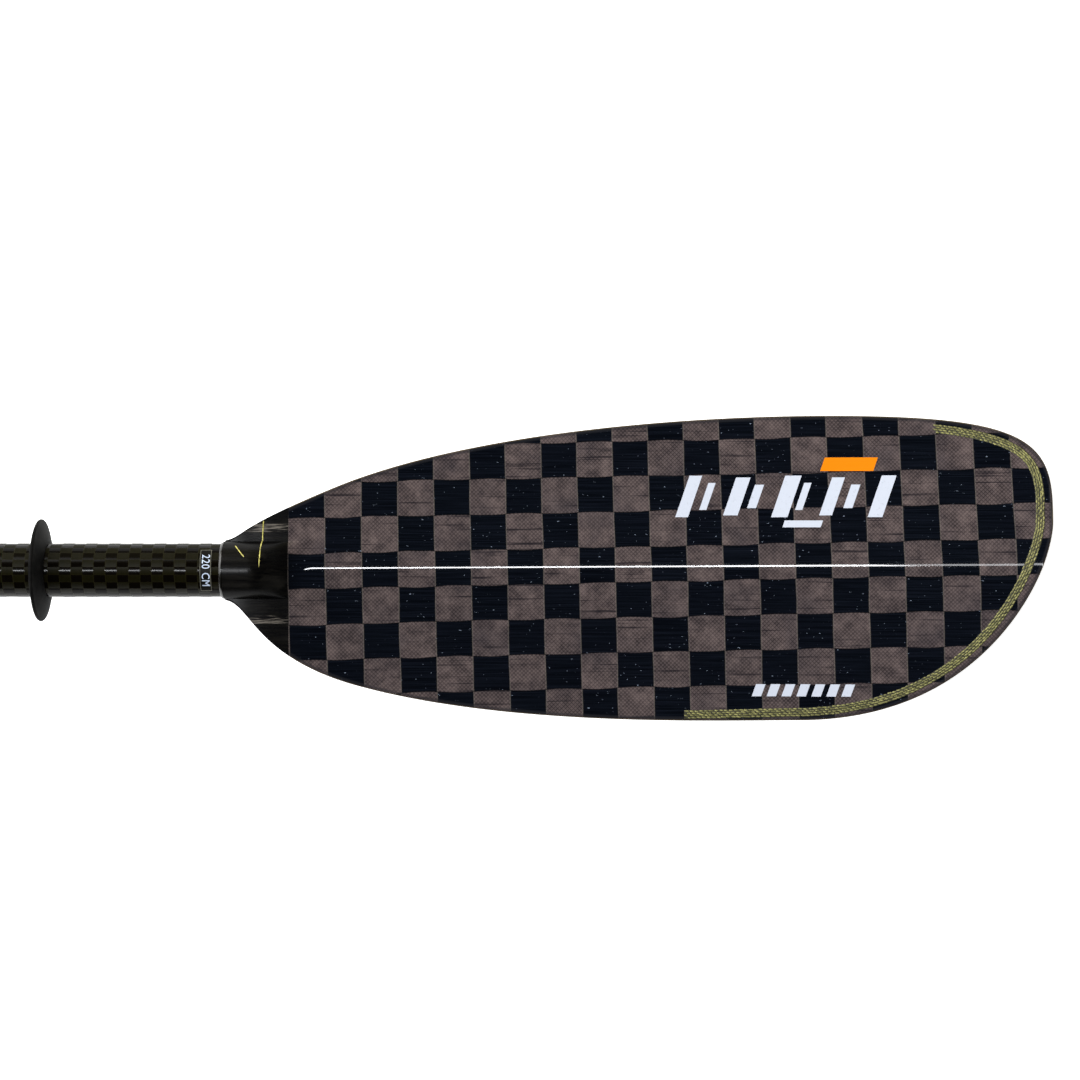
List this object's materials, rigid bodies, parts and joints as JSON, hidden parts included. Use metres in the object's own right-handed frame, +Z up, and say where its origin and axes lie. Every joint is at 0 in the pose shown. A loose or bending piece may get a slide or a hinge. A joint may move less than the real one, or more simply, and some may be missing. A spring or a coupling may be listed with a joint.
{
  "type": "kayak paddle",
  "caption": "Two-piece touring kayak paddle with spooned carbon blades, sliding drip rings and a button-locked ferrule that pulls apart and feathers.",
  "frame": {"origin": "on the floor under the middle of the paddle, at the ferrule joint between the two halves", "axes": "+X along the shaft towards the right half's tip, +Y across the blades towards their long edge, +Z up, out of both power faces"},
  "size_m": [2.2, 0.1692, 0.0556],
  "materials": {
    "carbon": "clear-coated carbon laminate",
    "foam": "cut closed-cell foam",
    "aramid": "aramid yarn under resin",
    "resin": "cured epoxy",
    "rubber": "moulded matte",
    "film": "printed film",
    "glassfibre": "sanded glassfibre",
    "steel": "stainless, satin"
  },
  "bodies": {
    "right_half": {"right_face_skin": "carbon", "right_back_skin": "carbon", "right_blade_core": "foam", "right_edge_stitching": "aramid", "right_bulkhead": "foam", "right_shaft": "carbon", "right_neck_bead": "resin", "right_joint_plug": "foam", "right_ferrule_sleeve": "glassfibre", "size_label": "film"},
    "o_ring_carrier": {"ferrule_o_ring": "rubber"},
    "left_half": {"left_face_skin": "carbon", "left_back_skin": "carbon", "left_blade_core": "foam", "left_edge_stitching": "aramid", "left_bulkhead": "foam", "left_shaft": "carbon", "left_neck_bead": "resin", "left_ferrule_spigot": "glassfibre", "left_spigot_plug": "foam", "snap_spring": "steel"},
    "button": {"snap_button": "steel"},
    "right_ring": {"right_drip_ring": "rubber"},
    "left_ring": {"left_drip_ring": "rubber"}
  },
  "joints": [
    {"name": "ferrule_pull", "type": "slide", "parent": "right_half", "child": "o_ring_carrier", "axis": [-1, 0, 0], "range_m": [0, 0.12]},
    {"name": "feather_twist", "type": "hinge", "parent": "o_ring_carrier", "child": "left_half", "pos_m": [0, -0.00085, 0.02781], "axis": [1, 0, 0], "range_deg": [-60, 60]},
    {"name": "snap_button_press", "type": "slide", "parent": "left_half", "child": "button", "axis": [0, 0, 1], "range_m": [0, 0.0045], "stiffness_N_per_m": 1200, "springref_m": 0.008, "deforming": ["snap_spring"]},
    {"name": "right_drip_ring_slide", "type": "slide", "parent": "right_half", "child": "right_ring", "axis": [1, 0, 0], "range_m": [-0.5, 0.08]},
    {"name": "left_drip_ring_slide", "type": "slide", "parent": "left_half", "child": "left_ring", "axis": [-1, 0, 0], "range_m": [-0.5, 0.08]}
  ]
}
